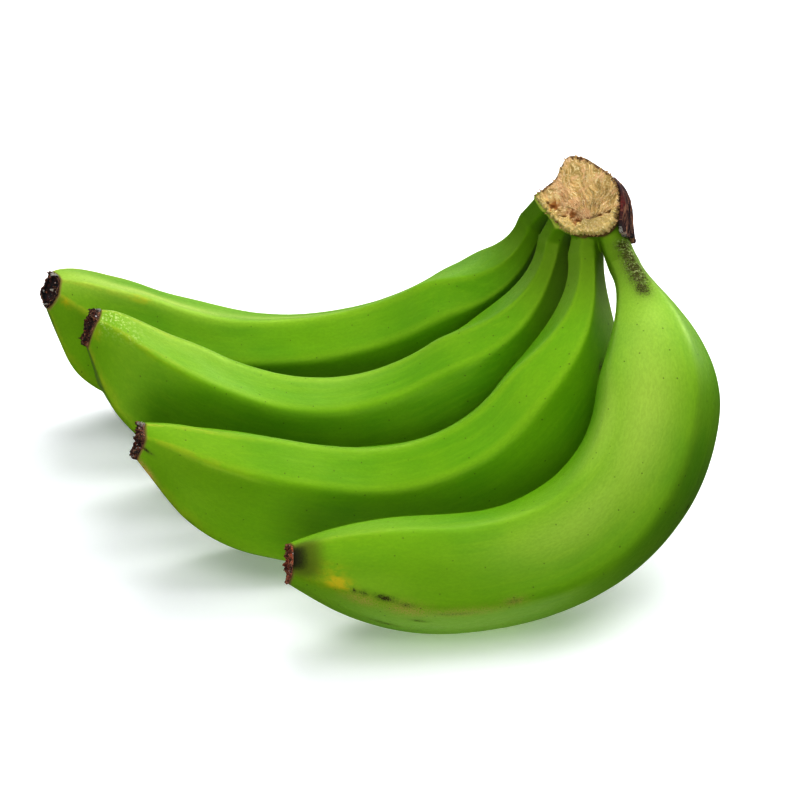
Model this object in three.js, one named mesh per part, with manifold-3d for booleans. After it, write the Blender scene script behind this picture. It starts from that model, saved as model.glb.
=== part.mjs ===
// A hand of four green plantain fingers, grown together at one cut crown and lying on its underside.
//
// Millimetres, +Z up. The surface that the hand lies on is z = 0. The fingers run from the crown,
// at +X, down to their bellies and up again to their dried tips, at -X; finger_1 is the rear one.

import * as THREE from 'three';
import { mergeVertices } from 'three/addons/utils/BufferGeometryUtils.js';
import Module from 'manifold-3d';

const wasm = await Module();
wasm.setup();

const { clamp, degToRad, lerp, smoothstep } = THREE.MathUtils;

// ---------------------------------------------------------------- driving dimensions

const GAP = 0.3;                 // what touching pieces keep between them

// The necks leave the crown along an arc, as they left the stalk of the bunch.
const STALK = { x: 86, y: 93, radius: 39 };
const NECK_ANGLE = { first: -69, step: 17.5 };  // degrees round the stalk

// One finger in section: girth, and how it narrows to the neck and to the tip.
const BODY_RADIUS = { first: 20.9, step: 0.2 };
const NECK_RADIUS = 5.4;
const NECK_LENGTH = 11;          // the neck keeps its radius this far
const SHOULDER = 69;             // and reaches full girth here
const NECK_ROOT = { length: 2.5, radius: 4 };   // the end that is sunk in the crown
const TIP_RADIUS = 7.1;
const TIP_TAPER = { first: 37, step: 8 };       // length over which a finger narrows to its tip
const REST_DEPTH = 0.8;          // how far each belly is pressed flat where it lies

// How the fingers fan out, from the rear one to the front one, in degrees.
const HEADING = { first: 175, step: 7 };        // the way a finger points, seen from above
const DIP = { first: -80, step: -3.5 };         // pitch of its neck where it leaves the crown
const SPLAY = { first: -12, step: 31 };         // how far its neck leans to the front
const CURL_SPAN = { first: 1.91, step: -0.34 }; // share of its length over which it curls up
const SPLAY_SPAN = { first: 0.5, step: 0.1 };   // share of its length over which the lean dies away

// What each finger has of its own: its length, how many degrees it curls up and where along it
// that is centred, where its lean dies away and to what, and the angles of its five ridges, from
// the front (0) over the inner side of the curve (90). Near the neck the ridges turn by neckTwist.
const FINGERS = [
  { length: 225, curl: 182, curlAt: 0.29, splayAt: 0.42, splayEnd: 11,
    ridges: [34, 74, 150, 235, 320], neckTwist: -12, edge: 1 },
  { length: 221, curl: 169, curlAt: 0.375, splayAt: 0.11, splayEnd: 4,
    ridges: [46, 86, 160, 240, 330], neckTwist: -18, edge: 1 },
  { length: 223, curl: 132, curlAt: 0.385, splayAt: 0.23, splayEnd: 1,
    ridges: [36, 80, 155, 235, 322], neckTwist: -40, edge: 1 },
  { length: 225, curl: 104, curlAt: 0.47, splayAt: 0.32, splayEnd: -3,
    ridges: [-6, 76, 150, 215, 285], neckTwist: -15, edge: 0.7 },
];
const FACE_BULGE = 0.75;         // 1 leaves the faces between ridges flat, less bows them out
const RIDGE_SHARPNESS = 14;
const TWIST_LENGTH = 80;         // the ridges turn over this much of the neck end
const TIP_ROUNDING = { length: 30, edge: 0.35 };  // the ridges fade this far from the tip
const STATIONS = 32;
const FACE_STEPS = [0, 0.13, 0.37, 0.63, 0.87];   // where points lie between one ridge and the next

// The dried flower end on each tip, a short ragged cup.
const STUB_LENGTH = [4, 4.5, 3.5, 2.2];
const STUB_RADIUS = 6.2;
const STUB_RAGGED = { waves: [3, 5], depth: [0.07, 0.04] };
const STUB_SIDES = 16;

// The crown: its cut face turns left and looks up, and its centre is above the necks.
const CROWN_CENTRE = { x: 63.6, y: 61.4, aboveNecks: 14.5 };
const CUT_TURN = 30;
const CUT_TILT = 38;
const CUT_OUTLINE = [            // across and up the cut face, anticlockwise from its right side
  [13, 3], [12, 8], [8, 11], [2, 13.5], [-4.5, 15.5], [-10.8, 14.5], [-12, 9], [-14, 4],
  [-18.5, -1], [-17.5, -5], [-10.5, -8], [-6, -11.5], [2, -11.5], [9, -10.5], [14, -8], [15, -4],
];
const CUT_RADIUS = 14;           // about half of the outline's width
const CUT_HOLLOW = 1.5;          // how deep the cut face is dished
const CROWN_DEPTH = 20;          // from the cut face to the back of the crown
const CROWN_POINTS = 40;

// The withered brown scale down the right side of the crown, from its shoulder to the front neck.
const SCALE_RIM = [[10.5, 9], [12.8, 5], [14, 0.5], [15.3, -4.5], [17, -10]];  // as the outline
const SCALE_WIDTH = { top: 3, foot: 14 };       // from the cut face backwards
const SCALE_THICKNESS = { top: 1.3, foot: 2.2 };
const SCALE_LIP = 0.5;           // its inner edge stands this proud of the cut face
const SCALE_STEPS = 12;

const PEEL = { color: 0x6ba820, roughness: 0.48 };
const CUT_PULP = { color: 0xd3ae74, roughness: 0.85 };
const DRIED_END = { color: 0x2e1a12, roughness: 0.9 };
const DRIED_SCALE = { color: 0x3a201b, roughness: 0.85 };

// ---------------------------------------------------------------- solids

/** A mesh whose closed rings all turn anticlockwise about the way from first to last. */
function loft(rings, startPoint, endPoint) {
  const count = rings[0].length;
  const points = [...rings.flat(), startPoint, endPoint];
  const start = points.length - 2;
  const end = points.length - 1;
  const last = (rings.length - 1) * count;
  const index = [];
  for (let j = 0; j < count; j++) {
    const next = (j + 1) % count;
    index.push(start, next, j, end, last + j, last + next);
    for (let base = 0; base < last; base += count) {
      const above = base + count;
      index.push(base + j, base + next, above + next, base + j, above + next, above + j);
    }
  }
  const geometry = new THREE.BufferGeometry().setFromPoints(points);
  geometry.setIndex(index);
  return geometry;
}

function centroid(ring) {
  const sum = new THREE.Vector3();
  ring.forEach((point) => sum.add(point));
  return sum.divideScalar(ring.length);
}

function toManifold(geometry) {
  const bare = new THREE.BufferGeometry();
  bare.setAttribute('position', geometry.getAttribute('position'));
  bare.setIndex(geometry.index);
  const merged = mergeVertices(bare, 1e-4);
  const vertProperties = new Float32Array(merged.getAttribute('position').array);
  const triVerts = new Uint32Array(merged.index.array);
  return new wasm.Manifold(new wasm.Mesh({ numProp: 3, vertProperties, triVerts }));
}

/** The geometry with every cutter taken out of it. */
function carve(geometry, cutters) {
  let carved = toManifold(geometry);
  cutters.forEach((cutter) => {
    carved = carved.subtract(toManifold(cutter));
  });
  const { vertProperties, triVerts } = carved.getMesh();
  const result = new THREE.BufferGeometry();
  result.setAttribute('position', new THREE.Float32BufferAttribute(vertProperties, 3));
  result.setIndex(new THREE.Uint32BufferAttribute(triVerts, 1));
  return result;
}

function named(name, geometry, look) {
  const mesh = new THREE.Mesh(geometry, new THREE.MeshStandardMaterial({ ...look, metalness: 0 }));
  mesh.name = name;
  return mesh;
}

// ---------------------------------------------------------------- a finger's axis

const fanned = (rule, k) => rule.first + rule.step * k;

/** Turns a share of the length into how far a change centred at `at` over `span` has come. */
const progress = (share, at, span) => smoothstep((share - at) / span + 0.5, 0, 1);

/** Unit vectors at a share of the finger's length: along it, to its front side, to its inner side. */
function directions(finger, k, share) {
  const span = fanned(CURL_SPAN, k);
  const curled = progress(share, finger.curlAt, span) - progress(0, finger.curlAt, span);
  const pitch = degToRad(fanned(DIP, k) + finger.curl * curled);

  const [at, fade] = [finger.splayAt, fanned(SPLAY_SPAN, k)];
  const [from, to] = [progress(0, at, fade), progress(1, at, fade)];
  const settled = (progress(share, at, fade) - from) / (to - from);
  const lean = degToRad(lerp(fanned(SPLAY, k), finger.splayEnd, settled));

  const heading = degToRad(fanned(HEADING, k));
  const ahead = new THREE.Vector3(Math.cos(heading), Math.sin(heading), 0);
  const front = new THREE.Vector3(-Math.sin(heading), Math.cos(heading), 0);
  const level = ahead.multiplyScalar(Math.cos(pitch)).setZ(Math.sin(pitch));
  const along = level.multiplyScalar(Math.cos(lean)).addScaledVector(front, Math.sin(lean));
  const side = front.addScaledVector(along, -front.dot(along)).normalize();
  const inner = new THREE.Vector3().crossVectors(along, side);
  return { along, side, inner };
}

function axisRadius(finger, k, distance) {
  const grown = lerp(NECK_RADIUS, fanned(BODY_RADIUS, k), smoothstep(distance, NECK_LENGTH, SHOULDER));
  const toTip = clamp((finger.length - distance) / fanned(TIP_TAPER, k), 0, 1);
  return lerp(TIP_RADIUS, grown, 1 - (1 - toTip) ** 2);
}

/** Points along the axis from the neck's end at the origin, with their directions and radii. */
function fingerAxis(finger, k) {
  const axis = [];
  const place = new THREE.Vector3();
  const step = finger.length / STATIONS;
  for (let i = 0; i <= STATIONS; i++) {
    const distance = i * step;
    const frame = directions(finger, k, i / STATIONS);
    axis.push({ ...frame, place: place.clone(), distance, radius: axisRadius(finger, k, distance) });
    place.addScaledVector(directions(finger, k, (i + 0.5) / STATIONS).along, step);
  }
  return axis;
}

// ---------------------------------------------------------------- a finger's section

/** How far out the ridged section reaches at an angle in degrees, for a radius of 1. */
function ridgedReach(angle, ridges) {
  let sum = 0;
  ridges.forEach((ridge, i) => {
    const next = i + 1 < ridges.length ? ridges[i + 1] : ridges[0] + 360;
    const faceDistance = Math.cos(degToRad(((next - ridge) / 2) * FACE_BULGE));
    const facing = Math.cos(degToRad(angle - (ridge + next) / 2));
    sum += (Math.max(0, facing) / faceDistance) ** RIDGE_SHARPNESS;
  });
  return sum ** (-1 / RIDGE_SHARPNESS);
}

function sectionAngles(ridges) {
  return ridges.flatMap((ridge, i) => {
    const next = i + 1 < ridges.length ? ridges[i + 1] : ridges[0] + 360;
    return FACE_STEPS.map((step) => lerp(ridge, next, step));
  });
}

/** The ring of points round one station of the axis. */
function sectionRing(finger, station, radius = station.radius) {
  const twist = finger.neckTwist * (1 - smoothstep(station.distance, 0, TWIST_LENGTH));
  const toTip = smoothstep(finger.length - station.distance, 0, TIP_ROUNDING.length);
  const edge = finger.edge * lerp(TIP_ROUNDING.edge, 1, toTip);
  return sectionAngles(finger.ridges).map((angle) => {
    const reach = radius * lerp(1, ridgedReach(angle, finger.ridges), edge);
    const turned = degToRad(angle + twist);
    return station.place.clone()
      .addScaledVector(station.side, reach * Math.cos(turned))
      .addScaledVector(station.inner, reach * Math.sin(turned));
  });
}

// ---------------------------------------------------------------- fingers and their dried ends

/** Where the finger's neck leaves the crown, at the height that presses its belly to z = 0. */
function neckPlace(finger, k, axis) {
  const angle = degToRad(fanned(NECK_ANGLE, k));
  const lowest = Math.min(...axis.flatMap((station) => sectionRing(finger, station).map((p) => p.z)));
  return new THREE.Vector3(
    STALK.x + STALK.radius * Math.sin(angle),
    STALK.y - STALK.radius * Math.cos(angle),
    -lowest - REST_DEPTH,
  );
}

/** The finger's skin from its root in the crown to its tip, standing out by `margin`. */
function fingerRings(finger, axis, floor, margin = 0) {
  const neck = axis[0];
  const sunk = neck.place.clone().addScaledVector(neck.along, -NECK_ROOT.length - margin);
  const rings = [sectionRing(finger, { ...neck, place: sunk }, NECK_ROOT.radius + margin)];
  axis.forEach((station) => rings.push(sectionRing(finger, station, station.radius + margin)));
  rings.flat().forEach((point) => point.setZ(Math.max(point.z, floor)));
  return rings;
}

/** The dried end's skin, out from the tip and back into the hollow at its middle. */
function stubRings(finger, k, axis, floor) {
  const tip = axis[axis.length - 1];
  const length = STUB_LENGTH[k];
  // distance from the tip, and share of the radius
  const profile = [
    [GAP, 0.96], [0.3 * length, 1], [0.8 * length, 0.94], [length, 0.84], [0.75 * length, 0.55],
  ];
  return profile.map(([distance, share]) => {
    const ring = [];
    for (let j = 0; j < STUB_SIDES; j++) {
      const angle = (2 * Math.PI * j) / STUB_SIDES;
      const [slow, fast] = STUB_RAGGED.waves.map((waves, i) => (
        STUB_RAGGED.depth[i] * Math.sin(waves * angle + (2 - i) * k)));
      const reach = STUB_RADIUS * share * (1 + slow + fast);
      const point = tip.place.clone().addScaledVector(tip.along, distance)
        .addScaledVector(tip.side, reach * Math.cos(angle))
        .addScaledVector(tip.inner, reach * Math.sin(angle));
      ring.push(point.setZ(Math.max(point.z, floor)));
    }
    return ring;
  });
}

const capped = (rings) => loft(rings, centroid(rings[0]), centroid(rings[rings.length - 1]));

const hand = new THREE.Group();
const neckCutters = [];
const neckHeights = [];

FINGERS.forEach((finger, k) => {
  const axis = fingerAxis(finger, k);
  const place = neckPlace(finger, k, axis);
  const floor = -place.z;
  const body = named(`finger_${k + 1}`, capped(fingerRings(finger, axis, floor)), PEEL);
  const stub = named(`tip_${k + 1}`, capped(stubRings(finger, k, axis, floor)), DRIED_END);
  body.position.copy(place);
  stub.position.copy(place);
  hand.add(body, stub);

  const neckEnd = axis.filter((station) => station.distance < SHOULDER / 2);
  const cutter = capped(fingerRings(finger, neckEnd, floor, GAP));
  neckCutters.push(cutter.translate(place.x, place.y, place.z));
  neckHeights.push(place.z);
});

// ---------------------------------------------------------------- the crown

const cutTurn = degToRad(CUT_TURN);
const cutTilt = degToRad(CUT_TILT);
const cutNormal = new THREE.Vector3(
  -Math.sin(cutTurn) * Math.cos(cutTilt), -Math.cos(cutTurn) * Math.cos(cutTilt), Math.sin(cutTilt));
const cutAcross = new THREE.Vector3(Math.cos(cutTurn), -Math.sin(cutTurn), 0);
const cutUp = new THREE.Vector3().crossVectors(cutNormal, cutAcross);
const crownCentre = new THREE.Vector3(
  CROWN_CENTRE.x, CROWN_CENTRE.y, Math.min(...neckHeights) + CROWN_CENTRE.aboveNecks);

/** A point given across, up and out from the centre of the cut face. */
const onCut = (across, up, out) => crownCentre.clone()
  .addScaledVector(cutAcross, across).addScaledVector(cutUp, up).addScaledVector(cutNormal, out);

/** The crown's skin from its back to the hollow of its cut face, standing out by `margin`. */
function crownRings(margin = 0) {
  const outline = new THREE.SplineCurve(CUT_OUTLINE.map(([x, y]) => new THREE.Vector2(x, y)));
  outline.points.push(outline.points[0]);
  const grown = 1 + margin / CUT_RADIUS;
  const rim = outline.getSpacedPoints(CROWN_POINTS).slice(0, -1).map((p) => p.multiplyScalar(grown));
  // share of the outline, how far out of the cut face, and how far down towards the necks
  const levels = [
    [0.35, -CROWN_DEPTH, 5], [0.72, -0.9 * CROWN_DEPTH, 4], [0.98, -0.65 * CROWN_DEPTH, 2],
    [1.04, -0.35 * CROWN_DEPTH, 1], [1.02, -0.1 * CROWN_DEPTH, 0], [0.97, 0, 0],
    [0.85, -0.3 * CUT_HOLLOW, 0], [0.5, -0.85 * CUT_HOLLOW, 0],
  ];
  return levels.map(([share, out, down]) => (
    rim.map((p) => onCut(p.x * share, p.y * share - down, out + margin))));
}

/** The scale as a run of four-sided sections that hug the crown's right side. */
function scaleRings() {
  const rim = new THREE.SplineCurve(SCALE_RIM.map(([x, y]) => new THREE.Vector2(x, y)));
  const rings = [];
  for (let i = 0; i <= SCALE_STEPS; i++) {
    const down = i / SCALE_STEPS;
    const inner = rim.getPoint(down);
    const tangent = rim.getTangent(down);
    const thickness = lerp(SCALE_THICKNESS.top, SCALE_THICKNESS.foot, down);
    const outer = inner.clone().addScaledVector(new THREE.Vector2(-tangent.y, tangent.x), thickness);
    const back = -lerp(SCALE_WIDTH.top, SCALE_WIDTH.foot, down);
    rings.push([
      onCut(inner.x, inner.y, SCALE_LIP), onCut(inner.x, inner.y, back),
      onCut(outer.x, outer.y, back + 2 * SCALE_LIP), onCut(outer.x, outer.y, -SCALE_LIP),
    ]);
  }
  return rings;
}

hand.add(named('crown', carve(capped(crownRings()), neckCutters), CUT_PULP));
const besideScale = [capped(crownRings(GAP)), neckCutters[neckCutters.length - 1]];
hand.add(named('dried_scale', carve(capped(scaleRings()), besideScale), DRIED_SCALE));

// The origin is on the surface, under the middle of the hand's box.
const middle = new THREE.Box3().setFromObject(hand).getCenter(new THREE.Vector3());
hand.position.set(-middle.x, -middle.y, 0);

export default hand;
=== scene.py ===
"""Looks of a hand of four green plantain fingers, grown together at one cut crown.

Every shape is worked out in millimetres, in the frame that the hand was laid out in, and is moved
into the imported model's frame and into metres when its mesh is made.
"""
import math

import bmesh
import bpy
import numpy as np
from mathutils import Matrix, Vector
from mathutils.kdtree import KDTree


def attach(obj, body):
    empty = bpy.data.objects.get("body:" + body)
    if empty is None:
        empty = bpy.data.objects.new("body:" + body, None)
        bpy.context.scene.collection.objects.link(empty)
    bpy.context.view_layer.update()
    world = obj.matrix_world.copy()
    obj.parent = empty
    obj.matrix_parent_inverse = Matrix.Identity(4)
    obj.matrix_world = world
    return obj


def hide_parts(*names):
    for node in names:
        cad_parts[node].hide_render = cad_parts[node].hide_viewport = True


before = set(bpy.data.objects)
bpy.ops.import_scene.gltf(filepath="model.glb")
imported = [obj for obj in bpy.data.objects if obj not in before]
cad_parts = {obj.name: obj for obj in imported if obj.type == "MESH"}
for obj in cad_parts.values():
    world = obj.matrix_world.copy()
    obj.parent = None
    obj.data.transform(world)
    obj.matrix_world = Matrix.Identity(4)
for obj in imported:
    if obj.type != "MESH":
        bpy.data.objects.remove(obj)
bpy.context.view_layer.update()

# ---------- driving dimensions (mm, degrees)

MM = 0.001
WAVES_ADDED = 14  # how many make up one layer of unevenness
SHIFT = np.array((11.30, -24.64, 0.0))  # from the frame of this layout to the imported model's

# The necks leave the crown along an arc.
STALK_X, STALK_Y, STALK_RADIUS = 86.0, 93.0, 39.0

# Rules for the four fingers: the value of the rear one, and the step to each next one.
NECK_ANGLE = (-69.0, 17.5)  # where on the arc its neck starts
HEADING = (175.0, 7.0)  # the way it points, seen from above
DIP = (-80.0, -3.5)  # how steeply its neck runs down
SPLAY = (-12.0, 31.0)  # how far its neck leans to the front
CURL_SPAN = (1.91, -0.34)  # share of its length that it curls up over
SPLAY_SPAN = (0.5, 0.1)  # share of its length that the lean settles over
BODY_RADIUS = (20.9, 0.2)
TIP_TAPER = (37.0, 8.0)  # how far before its tip it starts to narrow

NECK_RADIUS = 5.7
NECK_LENGTH = 11.0
SHOULDER = 69.0  # how far from the crown a finger has its full radius
TIP_RADII = (6.1, 6.6, 6.4, 6.8)
REST_DEPTH = 0.8  # how far each belly is pressed flat where it lies

# Of each finger: its length, how far it curls up in all, where along it (as shares of the length) it
# curls and settles its lean, the lean that it ends with, the angles of its five ridges and how far
# they turn at the neck, and how much of their height is left.
FINGERS = (
    dict(length=227, curl=182, curl_at=0.29, splay_at=0.42, splay_end=11,
         ridges=(34, 74, 150, 235, 320), neck_twist=-62, edge=1.0),
    dict(length=221, curl=169, curl_at=0.375, splay_at=0.11, splay_end=4,
         ridges=(53, 89, 160, 240, 332), neck_twist=-56, edge=1.0),
    dict(length=223, curl=132, curl_at=0.385, splay_at=0.23, splay_end=1,
         ridges=(42, 82, 155, 235, 324), neck_twist=-53, edge=1.0),
    dict(length=225, curl=104, curl_at=0.47, splay_at=0.32, splay_end=-3,
         ridges=(-6, 76, 150, 215, 285), neck_twist=-15, edge=0.55),
)
# How much thicker a finger is than the rule: finger, at what distance, over what span, by how much.
SWELLS = ((3, 84.0, 24.0, 0.35), (3, 160.0, 30.0, -0.8))
FACE_BULGE = 0.75  # where a face crosses the round radius: 0 middle, 1 ridge
RIDGE_SHARPNESS = (30.0, 26.0, 26.0, 12.0)  # of each finger: a high number gives a crisp ridge
TWIST_LENGTH = (60.0, 80.0, 80.0, 80.0)  # of each finger: how far down its ridges stop turning
TIP_FULLNESS = 2.2  # how long each finger stays thick before its tip
SAG = (1.6, 1.3, 1.2, -0.3)  # of each finger: how far it drops just before its tip
SAG_SPAN = (0.0, 22.0, 62.0)  # before the tip: where that ends, is deepest and begins
TIP_ROUNDING, TIP_EDGE = 22.0, 0.7  # how far before a tip the ridges fade, and what is left

# How finely the fingers are meshed, and how uneven their skin is.
RING_STEP = 1.0
FACE_POINTS = 26  # round one of the five faces
FACE_CROWDING = 0.6  # 0 spreads those points evenly, 1 crowds them at the ridges
SKIN_START = 6.0  # how far down each neck its own skin takes over
ROOT_TAPER = (0.8, 0.0, 0.0, 1.0)  # of each neck: how much thinner it is at its start
ROOT_TAPER_LENGTH = 12.0
RIDGE_WANDER, WANDER_LENGTH = 1.6, 70.0  # degrees that the ridges stray by, and the wavelength
FACE_HOLLOW = (0.25, 0.12, 0.05, -0.3)  # of each finger: how far a face dips between its ridges
SKIN_WAVES = ((34.0, 0.22), (11.0, 0.05), (4.5, 0.02))  # wavelength and height
SKIN_STRETCH = 0.45  # below 1 those waves are longer along a finger
RIDGE_WIDTH = 0.16  # share of a face, at each side, that looks like a ridge

# Each tip ends in a plane of its own, round a well that the dried flower end sits in.
END_FACING = ((-0.82, -0.36, 0.46), (-0.93, -0.04, 0.37), (-0.945, -0.12, 0.30), (-0.98, -0.175, 0.10))
END_RAGGED = (0.3, 0.5, 0.9, 0.4)  # how far each rim strays out of that plane
RAGGED_LENGTH = 14.0  # and over what wavelength
END_TURNING = 24.0  # how far before its tip a finger starts to turn to that plane
WELL = ((0.95, -0.7), (0.88, -5.0))  # share of the end ring, and how far out

# Where a finger's skin looks like a neck or like a tip, measured from that end.
NECK_ZONE = (12.0, 42.0)
TIP_ZONE = 45.0

# The dried flower ends: how high the torn rim and the tissue in its middle stand, how crumpled
# they are, how many flakes they have, how rusty they are, and the length and width of a pale flap.
DRIED_ENDS = (
    dict(rim=0.8, middle=-4.4, crumple=0.5, flakes=16, rust=0.0, flap=(2.4, 3.8)),
    dict(rim=1.8, middle=1.0, crumple=1.3, flakes=26, rust=0.22, flap=(1.4, 2.4)),
    dict(rim=1.4, middle=0.6, crumple=1.3, flakes=24, rust=0.30, flap=(2.4, 2.8)),
    dict(rim=0.9, middle=0.5, crumple=0.8, flakes=10, rust=0.80, flap=None),
)
END_AROUND, END_RINGS = 180, 80
# From the foot over the rim to the middle: the steps, and there the share of the tip's ring and
# the share of the rim's height.
END_STEPS = (0.0, 0.08, 0.2, 0.3, 0.42, 0.6, 1.0)
END_SHARES = (0.93, 1.0, 0.985, 0.93, 0.84, 0.72, 0.02)
END_HEIGHTS = (-0.5, 0.12, 0.75, 1.0, 0.55, 0.0, 0.0)
END_CRUMPLE = ((3.6, 0.42), (1.7, 0.30), (0.7, 0.12))  # wavelength and height
FLAKE_THICKNESS = 0.24

# The crown: where its cut face lies, how it is turned and tilted, and its outline.
CROWN_X, CROWN_Y, CROWN_ABOVE_NECKS = 63.6, 61.4, 15.2
CUT_TURN, CUT_TILT = 30.0, 38.0
CUT_OUTLINE = (
    (14.2, 1.2), (11.8, 6.9), (7.9, 11.0), (4.3, 12.6), (-1, 14.3), (-5.2, 15.3), (-10.9, 14.4),
    (-12.4, 9.8), (-13, 5.6), (-15.6, 1.6), (-18.8, -1.8), (-17.6, -3.9), (-14.8, -5.8), (-11.6, -7.8),
    (-10.4, -8.6), (-6.9, -10.5), (-2.9, -12.0), (0.8, -12.2), (4.4, -11.5), (8.6, -10.7), (12.6, -8.6),
    (14.8, -4.8))
CROWN_DEPTH = 20.0
# The rings of the crown's rough body: share of the outline, how far out of the cut face as a share
# of the depth, and how far down.
CROWN_LEVELS = (
    (0.35, -0.90, 4), (0.66, -0.76, 3), (0.84, -0.48, 1.2), (0.93, -0.24, 0.3), (0.985, -0.09, 0),
    (1.0, 0.0, 0), (0.98, 0.2, 0))
# Each neck bends up to the cut: the middle, heading and radius that it gets there with.
ROOTS = (
    dict(at=(-12.5, -1.2, 0.0), heading=(0.15, 0.25, 1.0), radius=4.7),
    dict(at=(-4.7, -4.9, 0.0), heading=(0.3, 0.40, 0.9), radius=4.3),
    dict(at=(2.2, -8.3, -4.6), heading=(-0.3, 0.8, 0.5), radius=5.0),
    dict(at=(10.2, -6.3, -5.2), heading=(-0.6, 0.7, 0.4), radius=5.0))
ROOT_FROM, ROOT_STEPS = 8.0, 14  # how far down a neck it starts to bend up, in how many rings
ROOT_REACH, ROOT_ABOVE = 9.0, 2.5  # how strongly it bends, and how far past that place it goes
CROWN_VOXEL = 0.45
CROWN_SMOOTHING = 12
CUT_SKIN_DEPTH = 0.5  # where the skin ends, below the plane of the cut
CUT_REACH = -13.6  # how far down the cut goes; below it the necks may rise past it
BOWL = ((0.76, 0.65), (0.70, 5.0))  # under the cut face: share of the skin's rim, and depth
SLEEVE_END = 16.0  # how far down each neck the crown's skin reaches
SLEEVE_MARGIN = (0.25, -0.45)  # outside the neck's skin at the crown, and inside it there
MARKS_CARRIED = (0.8, 4.5)  # how far from the front neck its marks fade on the crown
COLLAR_WIDTH, COLLAR_FADE = 0.45, (9.0, 12.0)  # the pale peel that the cut bares, lower left

# The torn surface of the cut face, in millimetres across and up from its centre.
FACE_AROUND, FACE_RINGS = 420, 110
FACE_SHARE = 0.965  # of the crown's outline
FACE_MIDDLE = (0.5, 0.5)  # the rings close in on here
SKIRT = (0.97, -1.8)  # under its edge: share of the outline, and how far out
FIBRE_FOCUS = (5.0, -6.0)  # the fibres fan out from here
HOLLOW_AT, HOLLOW_SIZE, HOLLOW_DEPTH = (3.0, 0.5), (8.5, 7.5), 1.6
PITS = ((-10.1, -3.7, 1.9), (-2.7, -4.9, 1.5), (0.1, -7.2, 1.3))  # across, up, radius
CLUMPS = ((-13.0, 5.0), (3.0, -7.0), 3.4)  # the ends of the torn ridge across the face, its width
# Strands that stick out over the edge.
STRAYS = (
    (-15.6, 1.6), (-17.3, 0.2), (-18.9, -1.8), (-13.2, 5.0), (11.0, 8.4), (-14.4, 3.0), (-12.2, 10.0),
    (-9.0, 14.6), (5.5, 12.0), (8.2, 10.6), (10.0, 9.4), (12.6, 6.0), (-18.2, -0.8), (-16.6, 0.8))
RIM_FLAKES = 90  # small torn bits, mostly along its upper right edge

# The withered scale down the right side of the crown.
SCALE_RIM = ((8.2, 10.9), (11.2, 8.0), (13.2, 4.2), (14.4, 0.2), (15.4, -4.2), (16.4, -7.4))
SCALE_WIDTH = (3.0, 14.0)  # at its top and at its foot
SCALE_THICKNESS = (2.0, 2.4)
SCALE_LIP = 0.5  # how far it stands up past the cut

# Marks on the peel, for a finger and a kind: distance along it, angle round it, length, width and
# strength of each one.
# The last kind is painted light: a pale sheen of highlight painted along upper faces.
MARK_KINDS = ("scar", "blush", "rub", "latex", "painted_sheen")
MARKS = {
    (0, "painted_sheen"): ((192, 95, 40, 7, 1.3), (130, 100, 50, 7, 0.9)),
    (0, "blush"): ((200, 74, 6, 2, 0.4), (224, 25, 2.5, 2.0, 0.5)),
    (1, "painted_sheen"): ((195, 86, 30, 5, 0.3), (120, 88, 50, 5, 0.2)),
    (1, "latex"): ((217, 73, 7, 5, 1.0), (211, 60, 4, 3, 0.6)),
    (1, "blush"): ((219, 20, 2, 3, 0.4),),
    (2, "rub"): ((219, 321, 4.0, 1.7, 1.8),),
    (2, "scar"): (
        (222, 8, 3.0, 0.7, 1.2), (213, 319, 2, 1, 0.8), (206, 320, 2.5, 1, 0.8),
        (199, 321, 2, 1, 0.7), (46, 356, 2.6, 1.2, 1.0), (51, 346, 2.2, 1.0, 0.9)),
    (3, "painted_sheen"): ((75, 40, 45, 13, 0.9), (120, 45, 40, 10, 0.7), (85, 75, 30, 9, 0.7)),
    (3, "blush"): ((211, 5, 5, 2.4, 0.9), (214, 14, 8, 6, 0.35)),
    (3, "scar"): (
        (206, 0, 1.2, 0.9, 1.0), (203, 0, 1.8, 1.0, 0.9), (196, 0, 4.0, 1.1, 1.2),
        (189, 357, 3.0, 0.9, 0.8), (193, 315, 6.0, 0.8, 0.9), (183, 336, 3.0, 0.6, 1.0),
        (172, 350, 7.0, 0.7, 0.6), (153, 357, 2.5, 1.0, 0.7), (96, 311, 1.2, 1.0, 1.3),
        (6, 8, 7, 3.8, 1.1), (12, 10, 7, 4.2, 1.15), (18, 13, 7, 4.4, 1.2), (24, 17, 7, 4.2, 1.2),
        (30, 22, 6, 3.4, 1.2)),
    (3, "rub"): (
        (203, 350, 6, 2.4, 0.8), (188, 351, 8, 3, 0.8), (170, 352, 14, 2, 0.5),
        (153, 357, 4, 1.6, 0.6)),
    (3, "latex"): ((9, 2, 9, 2.4, 0.9), (20, 8, 9, 2.4, 0.9)),
}
SEAR = dict(finger=3, angle=44, width=46, reach=14.0)  # the blackened skin beside one tip

# The camera, the pale studio and its lights.
CAMERA_TARGET = (0.0, 0.0, 60.0)
CAMERA_ELEVATION = 29.0
CAMERA_DISTANCE = 1350.0
FOCAL_PIXELS = 3975.0  # for a picture 800 pixels wide
PICTURE_PIXELS = 800.0
SENSOR_WIDTH = 36.0

# The soft lights, in metres: name, elevation, azimuth, watts, and a size and distance of its own.
LIGHT_SIZE, LIGHT_DISTANCE, LIGHT_AIM = 0.8, 1.5, (0.0, 0.0, 0.05)
LIGHTS = (
    ("back_right", 30, 45, 10.5),
    ("back", 55, 90, 8.4),
    ("back_high", 55, 45, 3.7),
    ("right", 55, 0, 4.4),
    ("left", 55, 180, 3.6),
    ("front_left", 55, 225, 2.7),
    ("front_high", 55, 270, 3.8),
    ("front_low", 10, 270, 8.9),
    ("front_left_low", 10, 225, 1.4),
    ("left_low", 10, 180, 3.4),
    ("right_low", 10, 45, 2.6),
    ("overhead", 80, 0, 1.9),
    ("bounce_front", -55, 290, 0.15, 0.2, 0.2),
    ("bounce_left", -20, 190, 0.5),
)
ROOM = 6.0  # half the width of the pale room, in metres
FLOOR_GLOW = 0.21  # of the floor near the hand
FLOOR_FADE = (400.0, 1300.0)  # how far out it brightens to the glow of the backdrop
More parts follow.
